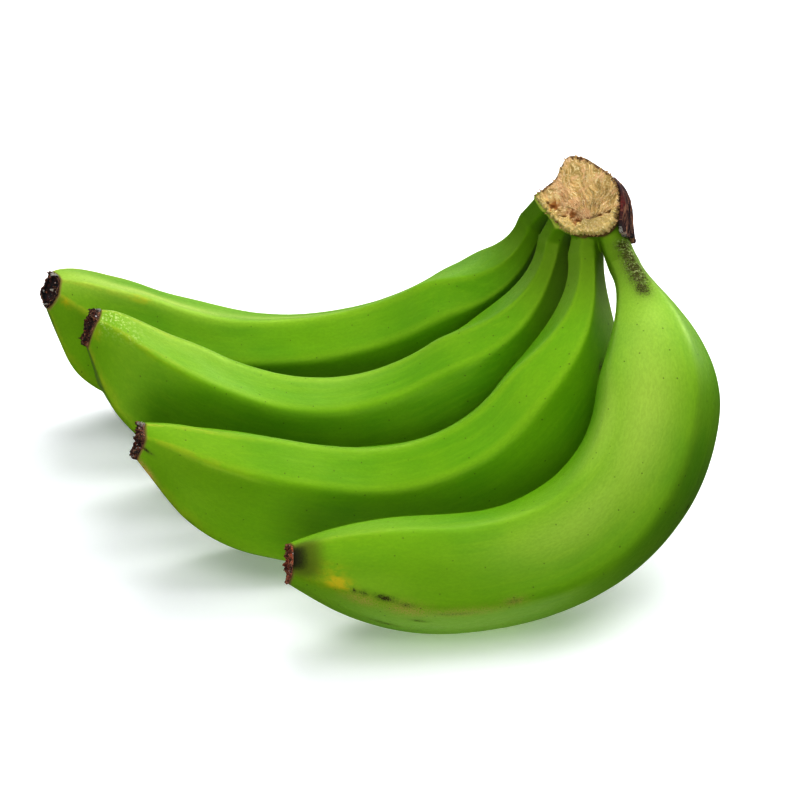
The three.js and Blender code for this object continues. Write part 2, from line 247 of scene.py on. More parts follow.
SET_GLOW = 1.1
ROOM_GLOW = 0.13
VIEW_GAMMA = 0.7


# ---------- numbers

def smoothstep(value, low, high):
    share = np.clip((value - low) / (high - low), 0.0, 1.0)
    return share * share * (3.0 - 2.0 * share)


def lerp(a, b, share):
    return a + (b - a) * share


def fanned(rule, k):
    return rule[0] + rule[1] * k


def unit(vectors):
    return vectors / np.linalg.norm(vectors, axis=-1, keepdims=True)


def stacked(*values):
    """The values side by side, along a new last axis."""
    return np.stack(np.broadcast_arrays(*values), axis=-1)


def waves(points, wavelength, seed):
    """Smooth seeded unevenness of about -1 to 1 at points given as rows."""
    rng = np.random.default_rng(seed)
    turns = unit(rng.normal(size=(WAVES_ADDED, points.shape[-1])))
    turns *= (2.0 * math.pi / wavelength) * rng.uniform(0.6, 1.6, size=(WAVES_ADDED, 1))
    phases = rng.uniform(0.0, 2.0 * math.pi, size=WAVES_ADDED)
    return np.sin(points @ turns.T + phases).sum(axis=-1) / math.sqrt(WAVES_ADDED)


def creased(points, wavelength, seed):
    """Unevenness with sharp crests, about -1 to 1."""
    return 1.0 - 2.0 * np.minimum(np.abs(waves(points, wavelength, seed)), 1.0)


def curve_between(p0, p1, p2, p3, t):
    """Points of a smooth curve from p1 to p2, at shares t of the way."""
    return 0.5 * (2 * p1 + (p2 - p0) * t + (2 * p0 - 5 * p1 + 4 * p2 - p3) * t ** 2
                  + (3 * p1 - p0 - 3 * p2 + p3) * t ** 3)


def closed_curve(corners, count):
    """Evenly spaced points of a smooth closed curve through the corners."""
    corners = np.array(corners, dtype=float)
    t = np.linspace(0.0, 1.0, 40, endpoint=False)[:, None]
    fours = zip(*(np.roll(corners, turn, axis=0) for turn in (1, 0, -1, -2)))
    dense = np.vstack([curve_between(*four, t) for four in fours] + [corners[:1]])
    lengths = np.append(0.0, np.cumsum(np.linalg.norm(np.diff(dense, axis=0), axis=1)))
    wanted = np.linspace(0.0, lengths[-1], count, endpoint=False)
    return stacked(*(np.interp(wanted, lengths, dense[:, i]) for i in range(2)))


def open_curve(corners, count):
    """Points of a smooth open curve through the corners, and its outward side."""
    corners = np.array(corners, dtype=float)
    padded = np.vstack([2 * corners[0] - corners[1], corners, 2 * corners[-1] - corners[-2]])
    spans = len(corners) - 1
    at = np.linspace(0.0, spans, count)
    span = np.minimum(at.astype(int), spans - 1)
    points = curve_between(*(padded[span + i] for i in range(4)), (at - span)[:, None])
    tangent = unit(np.gradient(points, axis=0))
    return points, stacked(-tangent[:, 1], tangent[:, 0])


# ---------- meshes

def add_object(name, data):
    made = bpy.data.objects.new(name, data)
    bpy.context.scene.collection.objects.link(made)
    return made


def ride_hand(name, mesh):
    """A smooth object that rides on the hand."""
    mesh.polygons.foreach_set("use_smooth", [True] * len(mesh.polygons))
    piece = add_object(name, mesh)
    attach(piece, "root")
    return piece


def make_piece(name, points, faces):
    """A piece from points in millimetres in the frame of the layout."""
    mesh = bpy.data.meshes.new(name)
    mesh.from_pydata(((points + SHIFT) * MM).tolist(), [], faces)
    mesh.update()
    return ride_hand(name, mesh)


def set_attribute(piece, name, values):
    kind, field = ("FLOAT", "value") if values.ndim == 1 else ("FLOAT_VECTOR", "vector")
    attribute = piece.data.attributes.new(name, kind, "POINT")
    attribute.data.foreach_set(field, np.asarray(values, dtype=np.float32).ravel())


def mesh_points(mesh):
    """The mesh's points in millimetres, in the frame of the layout."""
    flat = np.empty(len(mesh.vertices) * 3)
    mesh.vertices.foreach_get("co", flat)
    return flat.reshape(-1, 3) / MM - SHIFT


def capped(values):
    """The rows of a stack of rings as one list, then the middles of its first and last rings."""
    flat = values.reshape(-1, *values.shape[2:])
    return np.concatenate([flat, values[0].mean(axis=0)[None], values[-1].mean(axis=0)[None]])


def tube(rings):
    """Points and faces of a closed tube of rings."""
    count, around = rings.shape[:2]
    start, last = count * around, (count - 1) * around
    faces = []
    for base in range(0, last, around):
        for j in range(around):
            beside = (j + 1) % around
            faces.append((base + j, base + beside, base + around + beside, base + around + j))
    for j in range(around):
        beside = (j + 1) % around
        faces.append((start, beside, j))
        faces.append((start + 1, last + j, last + beside))
    return capped(rings), faces


def slab(outer, inner):
    """Points and faces of a closed solid between two grids of the same size."""
    rows, columns = outer.shape[:2]
    count = rows * columns
    faces = []
    for i in range(rows - 1):
        for j in range(columns - 1):
            a = i * columns + j
            quad = (a, a + 1, a + columns + 1, a + columns)
            faces.append(quad)
            faces.append(tuple(count + p for p in reversed(quad)))
    numbers = np.arange(count).reshape(rows, columns)
    edge = np.concatenate([
        numbers[0], numbers[1:, -1], numbers[-1, -2::-1], numbers[-2:0:-1, 0]]).tolist()
    for a, b in zip(edge, edge[1:] + edge[:1]):
        faces.append((b, a, count + a, count + b))
    return np.vstack([outer.reshape(-1, 3), inner.reshape(-1, 3)]), faces


class Pile:
    """Several closed solids gathered into one mesh, with one row of values for each point."""

    def __init__(self):
        self.points, self.faces, self.values = [], [], []
        self.count = 0

    def add(self, points, faces, values):
        self.faces += [tuple(self.count + p for p in face) for face in faces]
        self.points.append(points)
        self.values.append(np.broadcast_to(values, (len(points), 3)))
        self.count += len(points)

    def piece(self, name, attribute):
        made = make_piece(name, np.vstack(self.points), self.faces)
        set_attribute(made, attribute, np.vstack(self.values))
        return made


# ---------- a finger's axis and section

def progress(share, at, span):
    """How far a change has come that is spread over a span round one place."""
    return smoothstep((share - at) / span + 0.5, 0.0, 1.0)


def directions(finger, k, share):
    """Unit vectors at shares of the finger's length: along it, to its front, to its inner side."""
    span = fanned(CURL_SPAN, k)
    curled = progress(share, finger["curl_at"], span) - progress(0.0, finger["curl_at"], span)
    pitch = np.radians(fanned(DIP, k) + finger["curl"] * curled)

    at, fade = finger["splay_at"], fanned(SPLAY_SPAN, k)
    begin, finish = progress(0.0, at, fade), progress(1.0, at, fade)
    settled = (progress(share, at, fade) - begin) / (finish - begin)
    lean = np.radians(lerp(fanned(SPLAY, k), finger["splay_end"], settled))

    heading = math.radians(fanned(HEADING, k))
    ahead = np.array([math.cos(heading), math.sin(heading), 0.0])
    front = np.array([-math.sin(heading), math.cos(heading), 0.0])
    level = np.cos(pitch)[..., None] * ahead + np.sin(pitch)[..., None] * np.array([0.0, 0.0, 1.0])
    along = np.cos(lean)[..., None] * level + np.sin(lean)[..., None] * front
    side = unit(front - (along @ front)[..., None] * along)
    return along, side, np.cross(along, side)


def axis_radius(finger, k, distance):
    grown = lerp(NECK_RADIUS, fanned(BODY_RADIUS, k), smoothstep(distance, NECK_LENGTH, SHOULDER))
    for number, at, span, amount in SWELLS:
        if number == k:
            grown = grown + amount * np.exp(-((distance - at) / span) ** 2)
    to_tip = np.clip((finger["length"] - distance) / fanned(TIP_TAPER, k), 0.0, 1.0)
    return lerp(TIP_RADII[k], grown, 1.0 - (1.0 - to_tip) ** TIP_FULLNESS)


def finger_axis(finger, k, distances):
    """Places along the axis, from the neck's end at the origin."""
    stops = np.append(0.0, distances)
    along = directions(finger, k, (stops[1:] + stops[:-1]) / 2.0 / finger["length"])[0]
    places = np.cumsum(along * np.diff(stops)[:, None], axis=0)
    nearest, lowest, farthest = SAG_SPAN
    to_tip = finger["length"] - distances
    sag = smoothstep(to_tip, nearest, lowest) * (1.0 - smoothstep(to_tip, lowest, farthest))
    places[:, 2] -= SAG[k] * sag
    return places


def ridge_angles(finger):
    ridges = np.array(finger["ridges"], dtype=float)
    return ridges, np.append(ridges[1:], ridges[0] + 360.0)


def ridged_reach(angles, finger, sharpness):
    """How far out the ridged section reaches at each angle, for a radius of 1."""
    starts, ends = ridge_angles(finger)
    distance = np.cos(np.radians((ends - starts) / 2.0 * FACE_BULGE))
    facing = np.cos(np.radians(angles[..., None] - (starts + ends) / 2.0))
    total = ((np.maximum(facing, 0.0) / distance) ** sharpness).sum(axis=-1)
    return total ** (-1.0 / sharpness)


def section_angles(finger):
    """Angles round the section, crowded at the ridges, and each one's share of its face."""
    share = np.arange(FACE_POINTS) / FACE_POINTS
    share = share - FACE_CROWDING * np.sin(2.0 * math.pi * share) / (2.0 * math.pi)
    starts, ends = ridge_angles(finger)
    angles = lerp(starts[:, None], ends[:, None], share[None, :]).ravel()
    return angles, np.tile(share, len(starts))


class Skin:
    """A finger's skin as rings of points, with what its material needs to know at each point."""

    def __init__(self, k):
        finger = FINGERS[k]
        length = finger["length"]
        distances = np.arange(SKIN_START, length + RING_STEP / 2.0, RING_STEP)
        places = finger_axis(finger, k, distances)
        along, side, inner = directions(finger, k, distances / length)
        angles, share = section_angles(finger)

        taper = ROOT_TAPER[k] * (1.0 - smoothstep(distances, 0.0, ROOT_TAPER_LENGTH))
        radius = (axis_radius(finger, k, distances) - taper)[:, None]
        to_tip = smoothstep(length - distances, 0.0, TIP_ROUNDING)[:, None]
        edge = finger["edge"] * lerp(TIP_EDGE, 1.0, to_tip)
        reach = radius * lerp(1.0, ridged_reach(angles, finger, RIDGE_SHARPNESS[k])[None, :], edge)
        body = smoothstep(distances, NECK_LENGTH, SHOULDER)[:, None] * to_tip
        reach = reach - FACE_HOLLOW[k] * body * np.sin(math.pi * share)[None, :] ** 2

        wander = RIDGE_WANDER * waves(stacked(distances, 0.0), WANDER_LENGTH, seed=20 + k)
        twist = finger["neck_twist"] * (1.0 - smoothstep(distances, 0.0, TWIST_LENGTH[k])) + wander
        turned = np.radians(angles[None, :] + twist[:, None])
        self.straight = stacked(distances[:, None], radius * np.cos(np.radians(angles)),
                                radius * np.sin(np.radians(angles)))
        for number, (wavelength, height) in enumerate(SKIN_WAVES):
            stretched = self.straight * (SKIN_STRETCH, 1.0, 1.0)
            uneven = waves(stretched, wavelength, seed=50 + 10 * k + number)
            reach = reach + height * (0.3 + 0.7 * body) * uneven

        self.k, self.length, self.distances = k, length, distances
        self.angles, self.share, self.turned = angles, share, turned
        self.along, self.side, self.inner = along, side, inner
        self.reach, self.places, self.radius = reach, places, radius[:, 0]
        self.facing = unit(np.array(END_FACING[k]))
        self.place = self.neck_place()
        self.places = places + self.place
        self.points = self.rings(reach)
        self.points[..., 2] = np.maximum(self.points[..., 2], 0.0)

    def rings(self, reach, rows=slice(None)):
        """Rings round the axis, which lean over near the tip into the plane that it ends in."""
        spokes = ((reach * np.cos(self.turned[rows]))[..., None] * self.side[rows, None, :]
                  + (reach * np.sin(self.turned[rows]))[..., None] * self.inner[rows, None, :])
        lean = smoothstep(self.distances[rows], self.length - END_TURNING, self.length)
        slide = -(spokes @ self.facing) / (self.along[rows] @ self.facing)[:, None]
        ragged = END_RAGGED[self.k] * waves(spokes, RAGGED_LENGTH, seed=80 + self.k)
        slide = slide + ragged * lean[:, None] ** 6
        slide = (slide * lean[:, None])[..., None] * self.along[rows, None, :]
        return self.places[rows, None, :] + spokes + slide

    def end_ring(self, share, out):
        """The tip's last ring, drawn in to a share of its size and moved out of its plane."""
        middle = self.places[-1]
        return middle + (self.points[-1] - middle) * share + out * self.facing

    def neck_place(self):
        angle = math.radians(fanned(NECK_ANGLE, self.k))
        return np.array([
            STALK_X + STALK_RADIUS * math.sin(angle),
            STALK_Y - STALK_RADIUS * math.cos(angle),
            -self.rings(self.reach)[..., 2].min() - REST_DEPTH])

    def turn_from(self, angle):
        """How far round each point of a ring is from an angle, in degrees."""
        return (self.angles[None, :] - angle + 180.0) % 360.0 - 180.0

    def ridge(self):
        """1 on a ridge and 0 in the middle of a face, at each point of a ring."""
        near = 1.0 - smoothstep(np.minimum(self.share, 1.0 - self.share), 0.0, RIDGE_WIDTH)
        return near * FINGERS[self.k]["edge"] ** 2


# ---------- camera, floor and light

def make_camera():
    elevation = math.radians(CAMERA_ELEVATION)
    back = Vector((0.0, -math.cos(elevation), math.sin(elevation)))
    camera = add_object("camera", bpy.data.cameras.new("camera"))
    camera.data.sensor_width = SENSOR_WIDTH
    camera.data.lens = SENSOR_WIDTH * FOCAL_PIXELS / PICTURE_PIXELS
    camera.data.clip_end = 50.0
    target = (Vector(CAMERA_TARGET) + Vector(SHIFT)) * MM
    camera.location = target + back * CAMERA_DISTANCE * MM
    camera.rotation_euler = back.to_track_quat("Z", "Y").to_euler()
    bpy.context.scene.camera = camera


def soft_light(name, elevation, azimuth, power, size=LIGHT_SIZE, distance=LIGHT_DISTANCE):
    light = add_object(name, bpy.data.lights.new(name, "AREA"))
    light.data.shape = "DISK"
    light.data.size = size
    light.data.energy = power
    up, turn = math.radians(elevation), math.radians(azimuth)
    toward = Vector((math.cos(up) * math.cos(turn), math.cos(up) * math.sin(turn), math.sin(up)))
    light.location = Vector(LIGHT_AIM) + toward * distance
    light.rotation_euler = toward.to_track_quat("Z", "Y").to_euler()
    light.visible_camera = False


def make_set(name, bottom, top, faces, paint):
    """A part of the studio that the camera sees, but that throws no shadow and no soft light."""
    corners = [(x * ROOM, y * ROOM, z)
               for z in (bottom, top) for x, y in ((-1, -1), (1, -1), (1, 1), (-1, 1))]
    mesh = bpy.data.meshes.new(name)
    mesh.from_pydata(corners, [], faces)
    made = add_object(name, mesh)
    made.data.materials.append(paint)
    made.visible_diffuse = False
    made.visible_shadow = False
    return made


def make_studio():
    paint = Paint("floor", (0.88, 0.88, 0.90))
    far = paint.node("ShaderNodeVectorMath", {0: paint.place}, operation="LENGTH").outputs["Value"]
    floor_paint = paint.finish(Roughness=0.9, Specular_IOR_Level=0.1, Emission_Color=(0.92, 0.96, 1.0),
                               Emission_Strength=paint.fade(far, *FLOOR_FADE, FLOOR_GLOW, SET_GLOW))
    floor = make_set("floor", -0.001, 0.0, [(4, 5, 6, 7)], floor_paint)
    floor.visible_glossy = False  # the two lights under it stand in for what it throws back
    wall_paint = Paint("backdrop", (0.0, 0.0, 0.0)).finish(
        Specular_IOR_Level=0.0, Emission_Color=(1.0, 1.0, 1.0), Emission_Strength=SET_GLOW)
    make_set("backdrop", -0.5, ROOM,
             [(0, 1, 5, 4), (1, 2, 6, 5), (2, 3, 7, 6), (3, 0, 4, 7), (4, 5, 6, 7)], wall_paint)

    world = bpy.data.worlds.new("studio")
    world.use_nodes = True
    background = world.node_tree.nodes["Background"]
    background.inputs["Color"].default_value = (0.90, 0.95, 1.0, 1.0)
    background.inputs["Strength"].default_value = ROOM_GLOW
    bpy.context.scene.world = world

    for light in LIGHTS:
        soft_light(*light)
    view = bpy.context.scene.view_settings
    view.view_transform = "Standard"
    view.look = "None"
    view.gamma = VIEW_GAMMA


# ---------- materials

class Paint:
    """A material's nodes, built by short calls that each give back the socket to use next."""

    def __init__(self, name, color):
        self.material = bpy.data.materials.new(name)
        self.material.use_nodes = True
        self.tree = self.material.node_tree
        self.color = color
        place = self.node("ShaderNodeTexCoord", {}).outputs["Object"]
        self.place = self.node("ShaderNodeVectorMath", {0: place, "Scale": 1.0 / MM},
                               operation="SCALE").outputs[0]

    def node(self, kind, inputs, **settings):
        made = self.tree.nodes.new(kind)
        for name, value in settings.items():
            setattr(made, name, value)
        for name, value in inputs.items():
            self.feed(made.inputs[name], value)
        return made

    def feed(self, socket, value):
        """Links a socket to another one, or sets it to a number, a vector or a colour."""
        if isinstance(value, bpy.types.NodeSocket):
            self.tree.links.new(value, socket)
        elif socket.type == "RGBA":
            socket.default_value = (*value, 1.0)
        else:
            socket.default_value = value

    def finish(self, **sockets):
        shader = self.tree.nodes["Principled BSDF"]
        for name, value in dict(sockets, Base_Color=self.color).items():
            self.feed(shader.inputs[name.replace("_", " ")], value)
        return self.material

    def attribute(self, name, output="Vector"):
        return self.node("ShaderNodeAttribute", {}, attribute_name=name).outputs[output]

    def masks(self, name):
        """The three numbers that are kept in a vector attribute."""
        return tuple(self.node("ShaderNodeSeparateXYZ", {0: self.attribute(name)}).outputs)

    def noise(self, vector, scale, detail, roughness=0.55, distortion=0.0):
        return self.node("ShaderNodeTexNoise", {
            "Vector": vector, "Scale": scale, "Detail": detail, "Roughness": roughness,
            "Distortion": distortion}).outputs["Fac"]

    def stretched_noise(self, vector, scale, detail, roughness):
        """Noise that is finer or coarser along each axis."""
        stretched = self.node("ShaderNodeVectorMath", {0: vector, 1: scale}, operation="MULTIPLY")
        return self.noise(stretched.outputs[0], 1.0, detail, roughness)

    def cells(self, vector, scale):
        """Distance to the nearest cell's centre, and a random number for each cell."""
        node = self.node("ShaderNodeTexVoronoi", {"Vector": vector, "Scale": scale})
        chance = self.node("ShaderNodeSeparateColor", {0: node.outputs["Color"]})
        return node.outputs["Distance"], chance.outputs[0]

    def calc(self, operation, *values):
        """One number from two or more, taken in turn."""
        total = values[0]
        for value in values[1:]:
            total = self.node("ShaderNodeMath", {0: total, 1: value}, operation=operation).outputs[0]
        return total

    def times(self, *values):
        return self.calc("MULTIPLY", *values)

    def plus(self, *values):
        return self.calc("ADD", *values)

    def fade(self, value, low, high, to_low=0.0, to_high=1.0):
        inputs = dict(enumerate((value, low, high, to_low, to_high)))
        return self.node("ShaderNodeMapRange", inputs, interpolation_type="SMOOTHSTEP").outputs[0]

    def coat(self, color, *shares):
        """Lays a colour over what is there, as strongly as the product of the shares."""
        inputs = {0: self.times(*shares), 6: self.color, 7: color}
        self.color = self.node("ShaderNodeMix", inputs, data_type="RGBA").outputs[2]

    def bump(self, height, distance):
        return self.node("ShaderNodeBump", {"Height": height, "Distance": distance * MM}).outputs[0]


def make_peel():
    """Waxy green skin of the fingers and of the crown, with all its marks and a painted sheen."""
    paint = Paint("peel", (0.141, 0.355, 0.0045))
    straight = paint.attribute("straight")
    ridge, neck, tip = paint.masks("zones")
    scar, blush, rub = paint.masks("marks")
    sear, line, latex = paint.masks("ends")
    painted_sheen = paint.attribute("painted_sheen", "Fac")
    torn, collar, weather = paint.masks("crown")
    broad = paint.noise(paint.place, 0.03, 2.0)
    streaks = paint.stretched_noise(straight, (0.03, 0.5, 0.5), 4.0, 0.6)
    grain = paint.stretched_noise(straight, (0.6, 1.4, 1.4), 5.0, 0.7)
    mottle = paint.stretched_noise(straight, (0.3, 0.5, 0.5), 4.0, 0.65)
    blots = paint.noise(straight, 0.9, 5.0, 0.7)
    crumbs = paint.noise(straight, 2.1, 5.0, 0.75)

    # The green: uneven and streaked, paler on the ridges, duller on the necks, with a painted sheen, a
    # pale band of highlight along the upper faces.
    paint.coat((0.188, 0.400, 0.006), paint.fade(broad, 0.35, 0.65))
    paint.coat((0.212, 0.425, 0.009), paint.fade(streaks, 0.40, 0.72, 0.0, 0.55))
    paint.coat((0.255, 0.455, 0.014), ridge, 0.5)
    paint.coat((0.140, 0.250, 0.006), neck, 0.8)
    paint.coat((0.24, 0.42, 0.012), tip, 0.5)
    paint.coat((0.42, 0.42, 0.03), ridge, tip, paint.fade(streaks, 0.35, 0.6, 0.05, 0.5))
    # painted sheen: a pale highlight band on the upper faces
    paint.coat((0.56, 0.70, 0.17), painted_sheen, 0.6)
    paint.coat((0.085, 0.205, 0.002), paint.fade(grain, 0.35, 0.65, 0.0, 0.16))

    # The marks: yellow blushes, tan rubs, dark specks, pocked scars and dabs of dried latex.
    ragged = paint.fade(paint.times(blush, paint.fade(mottle, 0.3, 0.6, 0.45, 1.4)), 0.05, 1.0)
    paint.coat((0.60, 0.46, 0.008), ragged, 0.75)
    paint.coat((0.56, 0.36, 0.15), rub, paint.fade(crumbs, 0.38, 0.58), 0.75)
    distance, chance = paint.cells(straight, 0.34)
    dot, chosen = paint.fade(distance, 0.05, 0.14, 1.0, 0.0), paint.fade(chance, 0.50, 0.55)
    paint.coat((0.04, 0.055, 0.004), dot, chosen, 0.55)
    paint.coat((0.085, 0.115, 0.028), scar, paint.fade(crumbs, 0.36, 0.62, 0.85, 0.30))
    pocked = paint.fade(paint.calc("SUBTRACT", crumbs, paint.times(scar, 0.28)), 0.28, 0.18)
    paint.coat((0.045, 0.028, 0.010), pocked, 0.85)
    paint.coat((0.60, 0.70, 0.34), latex, paint.fade(blots, 0.50, 0.62), 0.8)

    # The blackened skin beside one tip, and the brown line round every tip.
    smoky = paint.plus(sear, paint.times(paint.calc("SUBTRACT", crumbs, 0.5), 0.30))
    paint.coat((0.090, 0.125, 0.008), paint.fade(smoky, 0.0, 0.65, 0.0, 0.85))
    paint.coat((0.007, 0.006, 0.007), paint.fade(smoky, 0.62, 1.02))
    paint.coat((0.38, 0.22, 0.11), line, 0.85)

    # The crown: browned near the cut, dark at the torn edge, and a pale collar where peel is cut.
    paint.coat((0.15, 0.10, 0.03), weather, paint.fade(crumbs, 0.30, 0.65), 0.8)
    paint.coat((0.13, 0.06, 0.03), torn)
    paint.coat((0.44, 0.50, 0.10), collar, 0.8)

    dull = paint.calc("MAXIMUM", scar, rub, torn, sear)
    roughness = paint.plus(paint.fade(grain, 0.3, 0.7, 0.36, 0.48), paint.times(dull, 0.3))
    height = paint.plus(paint.times(streaks, 0.6), grain)
    height = paint.calc("SUBTRACT", height, paint.times(pocked, 3.0))
    return paint.finish(Roughness=roughness, Specular_IOR_Level=0.36, Specular_Tint=(1.0, 1.0, 0.35),
                        Normal=paint.bump(height, 0.06))


def make_dried_end():
    """Withered flower tissue: near black, with maroon and rust patches, tan lines and pale flecks."""
    paint = Paint("dried_end", (0.0025, 0.002, 0.004))
    rim, pale, rust = paint.masks("tissue")
    coarse = paint.noise(paint.place, 0.55, 4.0, 0.65, 0.8)
    fine = paint.noise(paint.place, 1.3, 5.0, 0.7, 0.4)
    veins = paint.noise(paint.place, 0.50, 3.0, 0.6, 1.2)
    reddened = paint.fade(paint.plus(coarse, paint.times(rust, 0.2)), 0.50, 0.62)
    paint.coat((0.060, 0.012, 0.010), reddened)
    rusted = paint.fade(paint.plus(fine, paint.times(rust, 0.22)), 0.58, 0.70)
    paint.coat((0.34, 0.075, 0.030), rusted, paint.fade(coarse, 0.40, 0.55))
    line = paint.calc("ABSOLUTE", paint.calc("SUBTRACT", veins, 0.5), 0.0)
    line = paint.times(paint.fade(line, 0.0, 0.030, 1.0, 0.0), paint.fade(rust, 0.0, 0.5, 0.0, 0.85))
    edge = paint.times(rim, paint.fade(fine, 0.42, 0.58), 0.8)
    paint.coat((0.52, 0.29, 0.17), paint.calc("MAXIMUM", line, edge))
    distance, chance = paint.cells(paint.place, 0.8)
    fleck, chosen = paint.fade(distance, 0.20, 0.32, 1.0, 0.0), paint.fade(chance, 0.86, 0.88)
    paint.coat((0.58, 0.55, 0.55), fleck, chosen, paint.fade(rust, 0.0, 0.2, 0.2, 0.9))
    paint.coat((0.52, 0.52, 0.47), pale)
    return paint.finish(Roughness=paint.fade(fine, 0.3, 0.7, 0.55, 0.95), Specular_IOR_Level=0.3,
                        Normal=paint.bump(fine, 0.3))


def make_cut_face():
    """Torn fibrous pulp: cream fibres painted partly as bright as highlights, olive grooves,
    orange-brown pits, painted cream glints and a browned rim.
    """
    paint = Paint("cut_crown", (0.52, 0.36, 0.12))
    rim, pit, lip = paint.masks("pulp")
    clump = paint.masks("fibre")[2]
    fibre = paint.attribute("fibre")
    strands = paint.stretched_noise(fibre, (8.0, 0.11, 0.0), 3.0, 0.6)
    threads = paint.stretched_noise(fibre, (26.0, 0.22, 0.0), 4.0, 0.65)
    patches = paint.noise(paint.place, 0.30, 4.0, 0.6)
    fine = paint.noise(paint.place, 1.6, 4.0, 0.65)
    paint.coat((0.82, 0.60, 0.28), paint.fade(strands, 0.38, 0.58))
    # pale cream fibre threads: their colour is the fibres', their near-white brightness partly a
    # painted highlight
    paint.coat((0.98, 0.83, 0.50), paint.fade(threads, 0.50, 0.66, 0.0, 0.8))
    paint.coat((0.45, 0.30, 0.10), paint.fade(threads, 0.48, 0.34, 0.0, 0.5))
    pinked = paint.fade(paint.plus(patches, paint.times(clump, 0.20)), 0.50, 0.68)
    paint.coat((0.88, 0.61, 0.37), pinked, 0.75)
    paint.coat((0.84, 0.68, 0.28), lip, 0.5)
    specked = paint.fade(fine, 0.43, 0.33, 0.0, paint.fade(clump, 0.0, 1.0, 0.25, 0.7))
    paint.coat((0.42, 0.22, 0.07), specked)
    # painted glints: small cream-white highlight flecks
    paint.coat((1.0, 0.90, 0.62), paint.fade(fine, 0.54, 0.64, 0.0, 0.8))
    ragged = paint.plus(pit, paint.times(paint.calc("SUBTRACT", fine, 0.5), 1.6))
    paint.coat((0.46, 0.21, 0.055), paint.fade(ragged, 0.20, 0.75, 0.0, 0.85))
    paint.coat((0.17, 0.065, 0.03), rim, paint.fade(fine, 0.40, 0.56))
    height = paint.plus(paint.times(strands, 0.7), paint.times(threads, 0.8), paint.times(fine, 0.5))
    return paint.finish(Roughness=0.75, Specular_IOR_Level=0.3, Normal=paint.bump(height, 0.5))


def make_dried_scale():
    """Papery withered scale: black-brown with long light streaks and a pale torn foot."""
    paint = Paint("dried_scale", (0.012, 0.008, 0.010))
    down, foot, red = paint.masks("scale")
    streaks = paint.stretched_noise(paint.attribute("run"), (0.10, 1.1, 1.1), 5.0, 0.7)
    fine = paint.noise(paint.place, 1.6, 4.0, 0.65)
    paint.coat((0.085, 0.026, 0.022), paint.fade(streaks, 0.40, 0.58))
    paint.coat((0.26, 0.035, 0.03), red, paint.fade(fine, 0.35, 0.6))
    paint.coat((0.42, 0.23, 0.14), paint.fade(streaks, 0.50, 0.60), paint.fade(down, 0.15, 0.6), 0.9)
    paint.coat((0.60, 0.58, 0.52), foot, paint.fade(fine, 0.4, 0.52))
    return paint.finish(Roughness=paint.fade(fine, 0.3, 0.7, 0.5, 0.85), Specular_IOR_Level=0.3,
                        Normal=paint.bump(streaks, 0.3))


# ---------- the fingers

def mark_values(skin):
    """How strong each kind of mark, painted sheen included, is at each point of the skin."""
    values = np.zeros((len(MARK_KINDS), *skin.points.shape[:2]))
    for layer, kind in zip(values, MARK_KINDS):
        for distance, angle, length, width, strength in MARKS.get((skin.k, kind), ()):
            ahead = (skin.distances[:, None] - distance) / length
            aside = np.radians(skin.turn_from(angle)) * skin.radius[:, None] / width
            np.maximum(layer, strength * np.exp(-ahead ** 2 - aside ** 2), out=layer)
    return values


def make_finger(skin, peel):
    k = skin.k
    well = np.stack([skin.end_ring(share, out) for share, out in WELL])
    piece = make_piece(f"plantain_{k + 1}", *tube(np.concatenate([skin.points, well])))
    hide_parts(f"finger_{k + 1}")
    piece.data.materials.append(peel)

    from_crown = skin.distances[:, None]
    to_end = skin.length - from_crown
    scar, blush, rub, latex, painted_sheen = mark_values(skin)
    sear = np.zeros_like(scar)
    if k == SEAR["finger"]:
        aside = skin.turn_from(SEAR["angle"]) / SEAR["width"]
        sear = (1.0 - smoothstep(to_end, 0.0, SEAR["reach"])) * np.exp(-aside ** 4)
    line = (1.0 - smoothstep(to_end, 0.0, 0.9)) * (1.0 - sear)
    kept = dict(
        zones=stacked(skin.ridge(), 1.0 - smoothstep(from_crown, *NECK_ZONE),
                      1.0 - smoothstep(to_end, 0.0, TIP_ZONE)),
        marks=stacked(scar, blush, rub), ends=stacked(sear, line, latex),
        straight=skin.straight, painted_sheen=painted_sheen)
    for name, values in kept.items():
        lining = np.repeat(values[-1:], len(WELL), axis=0)
        set_attribute(piece, name, capped(np.concatenate([values, lining])))


# ---------- the dried flower ends

def flake_grid(start, out, across, length, width, curl, rng):
    """A small torn leaf of tissue that starts at a point and curls as it goes out."""
    rows, columns = 7, 5
    along = np.linspace(0.0, 1.0, rows)[:, None, None]
    side = np.linspace(-0.5, 0.5, columns)[None, :, None]
    taper = 1.0 - 0.7 * along ** 1.5
    lift = curl * along ** 2 * length + 0.12 * rng.normal(size=(rows, columns, 1)) * width
    return start + out * along * length + across * side * width * taper + np.cross(out, across) * lift


def add_flake(pile, grid, up, values):
    pile.add(*slab(grid + FLAKE_THICKNESS / 2.0 * up, grid - FLAKE_THICKNESS / 2.0 * up), values)


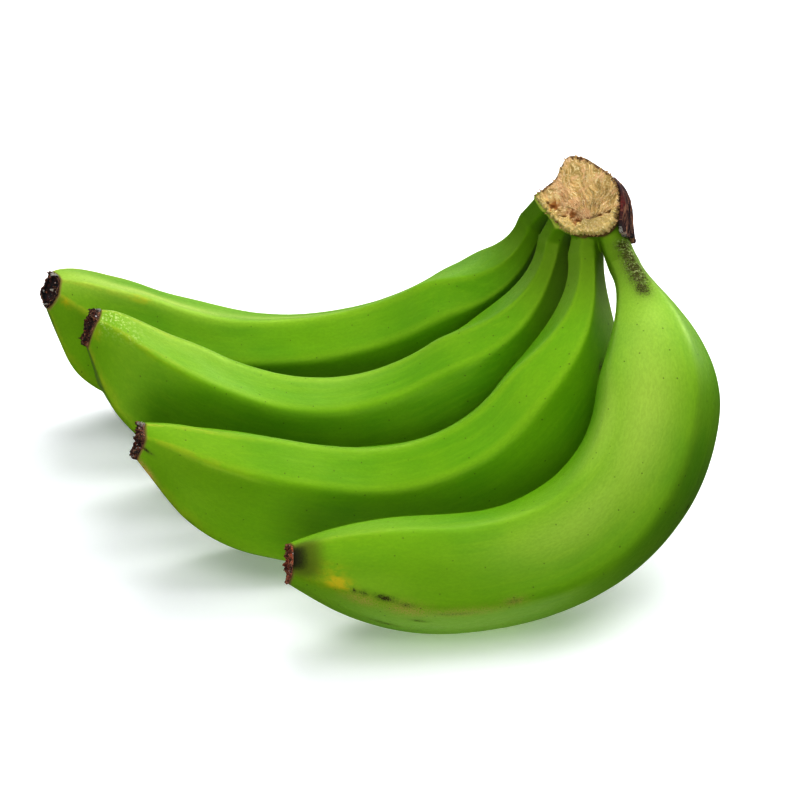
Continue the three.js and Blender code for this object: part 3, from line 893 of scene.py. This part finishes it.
def dried_rings(skin, spokes):
    """Rings of a dried end, from its foot over the torn rim to its middle, and the rim's mask."""
    k = skin.k
    shape = DRIED_ENDS[k]
    torn = 1.0 + 0.35 * waves(spokes, 9.0, seed=310 + k) + 0.30 * creased(spokes, 2.6, seed=320 + k)
    step = np.linspace(0.0, 1.0, END_RINGS)
    share, height = (np.interp(step, END_STEPS, values) for values in (END_SHARES, END_HEIGHTS))
    foot = step <= 0.1
    out = shape["rim"] * height[:, None] * np.where(foot, 0.0, 1.0)[:, None] * torn[None, :]
    out = out + np.where(foot, height, 0.0)[:, None]
    out = out + shape["middle"] * smoothstep(step, 0.34, 0.62)[:, None]
    plain = share[:, None, None] * spokes + out[..., None] * skin.facing
    loose = shape["crumple"] * smoothstep(step, 0.08, 0.3) * (1.0 - 0.6 * smoothstep(step, 0.9, 1.0))
    swell = np.zeros_like(out)
    for number, (wavelength, crest) in enumerate(END_CRUMPLE):
        swell = swell + crest * creased(plain, wavelength, seed=330 + 10 * k + number)
        out = out + crest * loose[:, None] * creased(plain, wavelength, seed=370 + 10 * k + number)
    inner = 1.0 - smoothstep(step, 0.6, 0.9)
    share = share[:, None] + 0.11 * loose[:, None] * swell * inner[:, None]
    rim = np.maximum(np.exp(-((step - 0.29) / 0.05) ** 2), np.exp(-((step - 0.08) / 0.04) ** 2))
    return skin.places[-1] + share[..., None] * spokes + out[..., None] * skin.facing, rim[:, None]


def make_dried_flower(skin, paint):
    k = skin.k
    shape = DRIED_ENDS[k]
    rng = np.random.default_rng(300 + k)
    middle, facing = skin.places[-1], skin.facing
    ring = np.vstack([skin.points[-1], skin.points[-1, :1]]) - middle
    around, at = np.arange(END_AROUND) / END_AROUND, np.linspace(0.0, 1.0, len(ring))
    spokes = stacked(*(np.interp(around, at, ring[:, i]) for i in range(3)))

    rings, rim = dried_rings(skin, spokes)
    pile = Pile()
    pile.add(*tube(rings), capped(stacked(rim, 0.0, np.full(rings.shape[:2], shape["rust"]))))
    if shape["flap"]:
        spoke = spokes[np.argmax(spokes[:, 2])]
        outward = unit(spoke)
        grid = flake_grid(middle + 0.96 * spoke, unit(facing + 0.25 * outward),
                          np.cross(facing, outward), *shape["flap"], 0.25, rng)
        add_flake(pile, grid, outward, (0.2, 0.55, 0.0))
    for number in rng.integers(0, END_AROUND, size=shape["flakes"]):
        spoke = spokes[number]
        outward = unit(spoke)
        across = np.cross(facing, outward)
        direction = unit(facing * rng.uniform(0.1, 1.0) + outward * rng.uniform(-1.2, 0.5))
        start = (middle + spoke * rng.uniform(0.35, 0.98)
                 + facing * max(shape["middle"], 0.0) * rng.uniform(0.2, 1.0))
        grid = flake_grid(start, direction, across, rng.uniform(0.6, 1.7), rng.uniform(0.6, 1.4),
                          rng.uniform(-0.6, 0.6), rng)
        pale = 0.9 if rng.uniform() > 0.72 else 0.0
        add_flake(pile, grid, unit(np.cross(direction, across)), (rng.uniform(), pale, rng.uniform()))
    piece = pile.piece(f"dried_flower_{k + 1}", "tissue")
    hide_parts(f"tip_{k + 1}")
    piece.data.materials.append(paint)


# ---------- the crown

class CutPlane:
    """Places given across, up and out from the centre of the cut face."""

    def __init__(self, centre):
        turn, tilt = math.radians(CUT_TURN), math.radians(CUT_TILT)
        self.normal = np.array([
            -math.sin(turn) * math.cos(tilt), -math.cos(turn) * math.cos(tilt), math.sin(tilt)])
        self.across = np.array([math.cos(turn), -math.sin(turn), 0.0])
        self.up = np.cross(self.normal, self.across)
        self.centre = centre

    def at(self, across, up, out):
        return (self.centre + np.asarray(across)[..., None] * self.across
                + np.asarray(up)[..., None] * self.up + np.asarray(out)[..., None] * self.normal)

    def way(self, across, up, out):
        """The direction that leads across, up and out from the centre."""
        return unit(self.at(across, up, out) - self.centre)

    def read(self, points):
        """Across, up and out of points given in space."""
        offset = points - self.centre
        return offset @ self.across, offset @ self.up, offset @ self.normal


def root_rings(skin, cut):
    """Rings of a sleeve round the end of a neck, which runs on in a curve up to the cut."""
    root = ROOTS[skin.k]
    rows = np.flatnonzero((skin.distances >= ROOT_FROM) & (skin.distances <= SLEEVE_END))
    margin = lerp(*SLEEVE_MARGIN, smoothstep(skin.distances[rows], ROOT_FROM, SLEEVE_END))
    sleeve = skin.rings(skin.reach[rows] + margin[:, None], rows)

    begin, leaving = skin.places[rows[0]], -skin.along[rows[0]]
    end, arriving = cut.at(*root["at"]), cut.way(*root["heading"])
    spokes = sleeve[0] - begin
    grown = root["radius"] / np.linalg.norm(spokes, axis=1).mean()
    curve = []
    for t in np.linspace(0.0, 1.0, ROOT_STEPS)[1:]:
        middle = (begin * (1 + 2 * t) * (1 - t) ** 2 + end * t * t * (3 - 2 * t)
                  + ROOT_REACH * (leaving * t * (1 - t) ** 2 + arriving * t * t * (t - 1)))
        heading = unit(lerp(leaving, arriving, t))
        share = (spokes @ heading) / (1.0 + leaving @ heading)
        curve.append(middle + (spokes - share[:, None] * (leaving + heading)) * lerp(1.0, grown, t))
    curve.append(curve[-1] + ROOT_ABOVE * arriving)
    return np.concatenate([sleeve[::-1], curve])


def crown_mesh(skins, cut):
    """The crown's rough body and a sleeve round each neck, run together into one smooth skin."""
    outline = closed_curve(CUT_OUTLINE, 120)
    core = np.stack([cut.at(outline[:, 0] * share, outline[:, 1] * share - down, CROWN_DEPTH * out)
                     for share, out, down in CROWN_LEVELS])
    pile = Pile()
    for rings in (core, *(root_rings(skin, cut) for skin in skins)):
        pile.add(*tube(rings), 0.0)
    rough = pile.piece("rough_crown", "spare")
    remesh = rough.modifiers.new("melt", "REMESH")
    remesh.mode = "VOXEL"
    remesh.voxel_size = CROWN_VOXEL * MM
    rough.modifiers.new("round", "SMOOTH").iterations = CROWN_SMOOTHING
    bpy.context.view_layer.update()
    graph = bpy.context.evaluated_depsgraph_get()
    mesh = bpy.data.meshes.new_from_object(rough.evaluated_get(graph))
    bpy.data.objects.remove(rough, do_unlink=True)
    return mesh


def trim_at_cut(mesh, cut):
    """Cuts the crown's skin off at the cut and closes it with a bowl under the cut face."""
    bm = bmesh.new()
    bm.from_mesh(mesh)
    origin = Vector((cut.at(0.0, 0.0, -CUT_SKIN_DEPTH) + SHIFT) * MM)
    normal, upward = Vector(cut.normal), Vector(cut.up)
    near = {vertex for vertex in bm.verts if (vertex.co - origin).dot(upward) > CUT_REACH * MM}
    parts = [part for part in bm.edges[:] + bm.faces[:] if near.issuperset(part.verts)]
    bmesh.ops.bisect_plane(bm, geom=[*near, *parts], plane_co=origin, plane_no=normal,
                           clear_outer=True)
    rim = [edge for edge in bm.edges if edge.is_boundary]
    size = 1.0
    for share, depth in BOWL:
        made = bmesh.ops.extrude_edge_only(bm, edges=rim)["geom"]
        rim = [item for item in made if isinstance(item, bmesh.types.BMEdge) and item.is_boundary]
        for vertex in [item for item in made if isinstance(item, bmesh.types.BMVert)]:
            spoke = vertex.co - origin
            spoke -= spoke.dot(normal) * normal
            vertex.co = origin + spoke * (share / size) - normal * depth * MM
        size = share
    bmesh.ops.holes_fill(bm, edges=rim)
    bm.to_mesh(mesh)
    bm.free()


def collar_share(across, up):
    """1 where the cut passes through the peel of the two left necks."""
    return smoothstep(-0.65 * across - 0.76 * up, *COLLAR_FADE)


def carried_marks(skin, points):
    """The marks of the front neck's skin at the points of the crown that run on from it."""
    rows = skin.distances <= SLEEVE_END
    near = skin.points[rows].reshape(-1, 3)
    values = mark_values(skin)[:, rows].reshape(len(MARK_KINDS), -1)
    tree = KDTree(len(near))
    for number, point in enumerate(near):
        tree.insert(point, number)
    tree.balance()
    found = [tree.find(point)[1:] for point in points]
    numbers, gaps = (np.array(column) for column in zip(*found))
    return values[:, numbers] * (1.0 - smoothstep(gaps, *MARKS_CARRIED))


def make_crown_body(skins, cut, paint):
    mesh = crown_mesh(skins, cut)
    trim_at_cut(mesh, cut)
    piece = ride_hand("crown_body", mesh)
    points = mesh_points(mesh)
    across, up, out = cut.read(points)
    near_cut = 1.0 - smoothstep(-out, CUT_SKIN_DEPTH, CUT_SKIN_DEPTH + 0.9)
    near_cut = near_cut * smoothstep(up, CUT_REACH + 0.9, CUT_REACH + 1.7)
    bared = collar_share(across, up)
    weather = (1.0 - smoothstep(-out, 2.0, 12.0)) * (1.0 - bared) * smoothstep(up, -8.0, 2.0)
    scar, blush, rub, latex, _ = carried_marks(skins[-1], points)
    set_attribute(piece, "crown", stacked(near_cut * (1.0 - bared), near_cut * bared, weather))
    set_attribute(piece, "marks", stacked(scar, blush, rub))
    set_attribute(piece, "ends", stacked(0.0, 0.0, latex))
    set_attribute(piece, "straight", points)
    set_attribute(piece, "zones", np.broadcast_to((0.0, 1.0, 0.0), points.shape))
    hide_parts("crown")
    piece.data.materials.append(paint)


def cut_relief(flat, turn, far, share):
    """How high the torn face stands, and its masks: pits and cracks, thick lower lip, torn clumps."""
    x, y = flat[..., 0], flat[..., 1]
    strands = waves(stacked(turn * 9.0, far * 0.12), 1.6, seed=403)
    strands = strands * (0.6 + 0.5 * waves(flat, 5.0, seed=409))
    strands_fine = creased(stacked(turn * 24.0, far * 0.2), 1.6, seed=404)
    hollow = np.exp(-(((flat - HOLLOW_AT) / HOLLOW_SIZE) ** 2).sum(axis=-1))
    lip_inner = -6.6 + 0.035 * (x + 2.0) ** 2 + 0.5 * waves(flat, 4.0, seed=410)
    lip = smoothstep(lip_inner - y, -0.2, 1.0)
    begin, finish, width = CLUMPS
    run = np.subtract(finish, begin)
    beside = ((x - begin[0]) * run[1] - (y - begin[1]) * run[0]) / np.linalg.norm(run)
    clump = np.exp(-(beside / width) ** 2) * (1.0 - lip)
    pit = np.zeros_like(x)
    for px, py, radius in PITS:
        wide = radius * (1.0 + 0.45 * waves(flat, 2.2, seed=411))
        pit = np.maximum(pit, np.exp(-((x - px) ** 2 + (y - py) ** 2) / wide ** 2))
    crack = np.exp(-((y - lip_inner) / 0.55) ** 2) * smoothstep(waves(flat, 2.4, seed=412), -0.1, 0.8)

    height = 0.3 - HOLLOW_DEPTH * hollow * (1.0 - lip) * (1.0 - 0.7 * clump) + 1.1 * lip
    height += (1.0 - lip) * (0.36 * strands + 0.16 * strands_fine)
    rough = 0.05 + 0.8 * clump + 0.5 * lip
    height += rough * (0.34 * creased(flat, 3.2, seed=405) + 0.18 * creased(flat, 1.4, seed=406))
    height -= 1.0 * pit + 0.5 * crack
    height = lerp(height, -0.1, smoothstep(share, 0.90, 1.0)[:, None] ** 2)
    return height, np.maximum(pit, 0.8 * crack), lip, clump


def add_torn_bits(pile, cut, outline, normal, weights):
    """Strands that stick out over the edge of the face, and small flakes along its rim."""
    rng = np.random.default_rng(400)
    for across, up in STRAYS:
        outward = unit(np.array([across, up]) + rng.normal(size=2) * 4.0)
        direction = cut.way(*outward, rng.uniform(-0.2, 0.8))
        grid = flake_grid(cut.at(across * 0.93, up * 0.93, 0.0), direction,
                          unit(np.cross(direction, cut.normal)), rng.uniform(1.2, 2.4), 0.5,
                          rng.uniform(-0.9, 0.9), rng)
        add_flake(pile, grid, cut.normal, (1.0, 0.0, 0.0))
    for number in rng.choice(FACE_AROUND, size=RIM_FLAKES, p=weights / weights.sum()):
        direction = cut.way(*(normal[number] + 0.5 * rng.normal(size=2)), rng.uniform(-0.3, 0.7))
        start = cut.at(*(outline[number] * rng.uniform(0.96, 1.0)), rng.uniform(-0.3, 0.1))
        grid = flake_grid(start, direction, unit(np.cross(direction, cut.normal)),
                          rng.uniform(0.4, 1.1), rng.uniform(0.3, 0.8), rng.uniform(-0.5, 0.5), rng)
        add_flake(pile, grid, cut.normal, (rng.uniform(0.4, 1.0), 0.0, 0.0))


def make_cut(cut, paint):
    outline = closed_curve(CUT_OUTLINE, FACE_AROUND) * FACE_SHARE
    normal = unit(outline)
    torn = 0.26 * waves(outline, 3.0, seed=401) + 0.36 * creased(outline, 1.3, seed=402)
    bared = collar_share(outline[:, 0], outline[:, 1])
    outline = outline + normal * (torn - COLLAR_WIDTH * bared)[:, None]
    share = np.linspace(0.0, 1.0, FACE_RINGS + 1)[1:]
    flat = FACE_MIDDLE + (outline - FACE_MIDDLE)[None, :, :] * share[:, None, None]
    from_focus = flat - FIBRE_FOCUS
    far = np.linalg.norm(from_focus, axis=-1)
    bend = 0.07 * waves(flat, 9.0, seed=407) + 0.010 * waves(flat, 3.0, seed=408)
    turn = np.arctan2(from_focus[..., 0], from_focus[..., 1]) + bend
    height, pit, lip, clump = cut_relief(flat, turn, far, share)

    skirt = cut.at(*(outline * SKIRT[0]).T, SKIRT[1])[None]
    rings = np.concatenate([cut.at(flat[..., 0], flat[..., 1], height), skirt])
    browned = 0.35 + 0.65 * smoothstep(flat @ (0.6, 0.8), 3.0, 9.0)
    rim = smoothstep(share, 0.93, 1.0)[:, None] * browned
    pulp, fibre = (capped(np.concatenate([values, values[-1:]]))
                   for values in (stacked(rim, pit, lip), stacked(turn, far, clump)))
    pile = Pile()
    pile.add(*tube(rings), pulp)
    add_torn_bits(pile, cut, outline, normal, browned[-1])
    piece = pile.piece("cut_face", "pulp")
    spare = np.zeros((len(piece.data.vertices) - len(fibre), 3))
    set_attribute(piece, "fibre", np.vstack([fibre, spare]))
    piece.data.materials.append(paint)


def make_scale(cut, paint):
    rows, columns = 90, 46
    rim, outward = open_curve(SCALE_RIM, rows)
    down = np.linspace(0.0, 1.0, rows)[:, None]
    back = np.linspace(0.0, 1.0, columns)[None, :]
    depth = SCALE_LIP - (lerp(*SCALE_WIDTH, down) + SCALE_LIP) * back
    run = stacked(down * 24.0, depth, 0.0)
    fibres = creased(run * np.array([0.10, 1.0, 1.0]), 2.6, seed=500)
    fibres_fine = creased(run * np.array([0.14, 1.0, 1.0]), 1.0, seed=501)
    bulge = np.sin(math.pi * np.clip(back, 0.02, 0.98)) ** 0.4
    thickness = lerp(*SCALE_THICKNESS, down) * (0.35 + 0.65 * bulge) * smoothstep(down, -0.1, 0.5)
    thickness = thickness + bulge * (0.22 * fibres + 0.10 * fibres_fine)
    ragged = 0.9 * waves(stacked(back[0] * 14.0, 0.0), 3.0, seed=502)
    slide = smoothstep(down, 0.75, 1.0) * ragged[None, :]

    def sheet(lift):
        spot = rim[:, None, :] + outward[:, None, :] * lift[..., None]
        return cut.at(spot[..., 0] + 0.35 * slide, spot[..., 1] - slide, depth)

    piece = make_piece("dried_scale_skin", *slab(sheet(thickness), sheet(np.full_like(depth, 0.1))))
    foot = 0.8 * smoothstep(down, 0.975, 1.0) * (1.0 - back) ** 3
    red = 0.75 * np.exp(-((down - 0.5) / 0.16) ** 2 - (back / 0.14) ** 2)
    for name, values in (("scale", stacked(down, foot, red)), ("run", run)):
        set_attribute(piece, name, np.vstack([values.reshape(-1, 3)] * 2))
    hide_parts("dried_scale")
    piece.data.materials.append(paint)


# ---------- the hand

skins = [Skin(k) for k in range(len(FINGERS))]
make_camera()
make_studio()

peel = make_peel()
dried_end = make_dried_end()
crown_height = min(skin.place[2] for skin in skins) + CROWN_ABOVE_NECKS
cut_plane = CutPlane(np.array([CROWN_X, CROWN_Y, crown_height]))
for skin in skins:
    make_finger(skin, peel)
    make_dried_flower(skin, dried_end)
make_crown_body(skins, cut_plane, peel)
make_cut(cut_plane, make_cut_face())
make_scale(cut_plane, make_dried_scale())
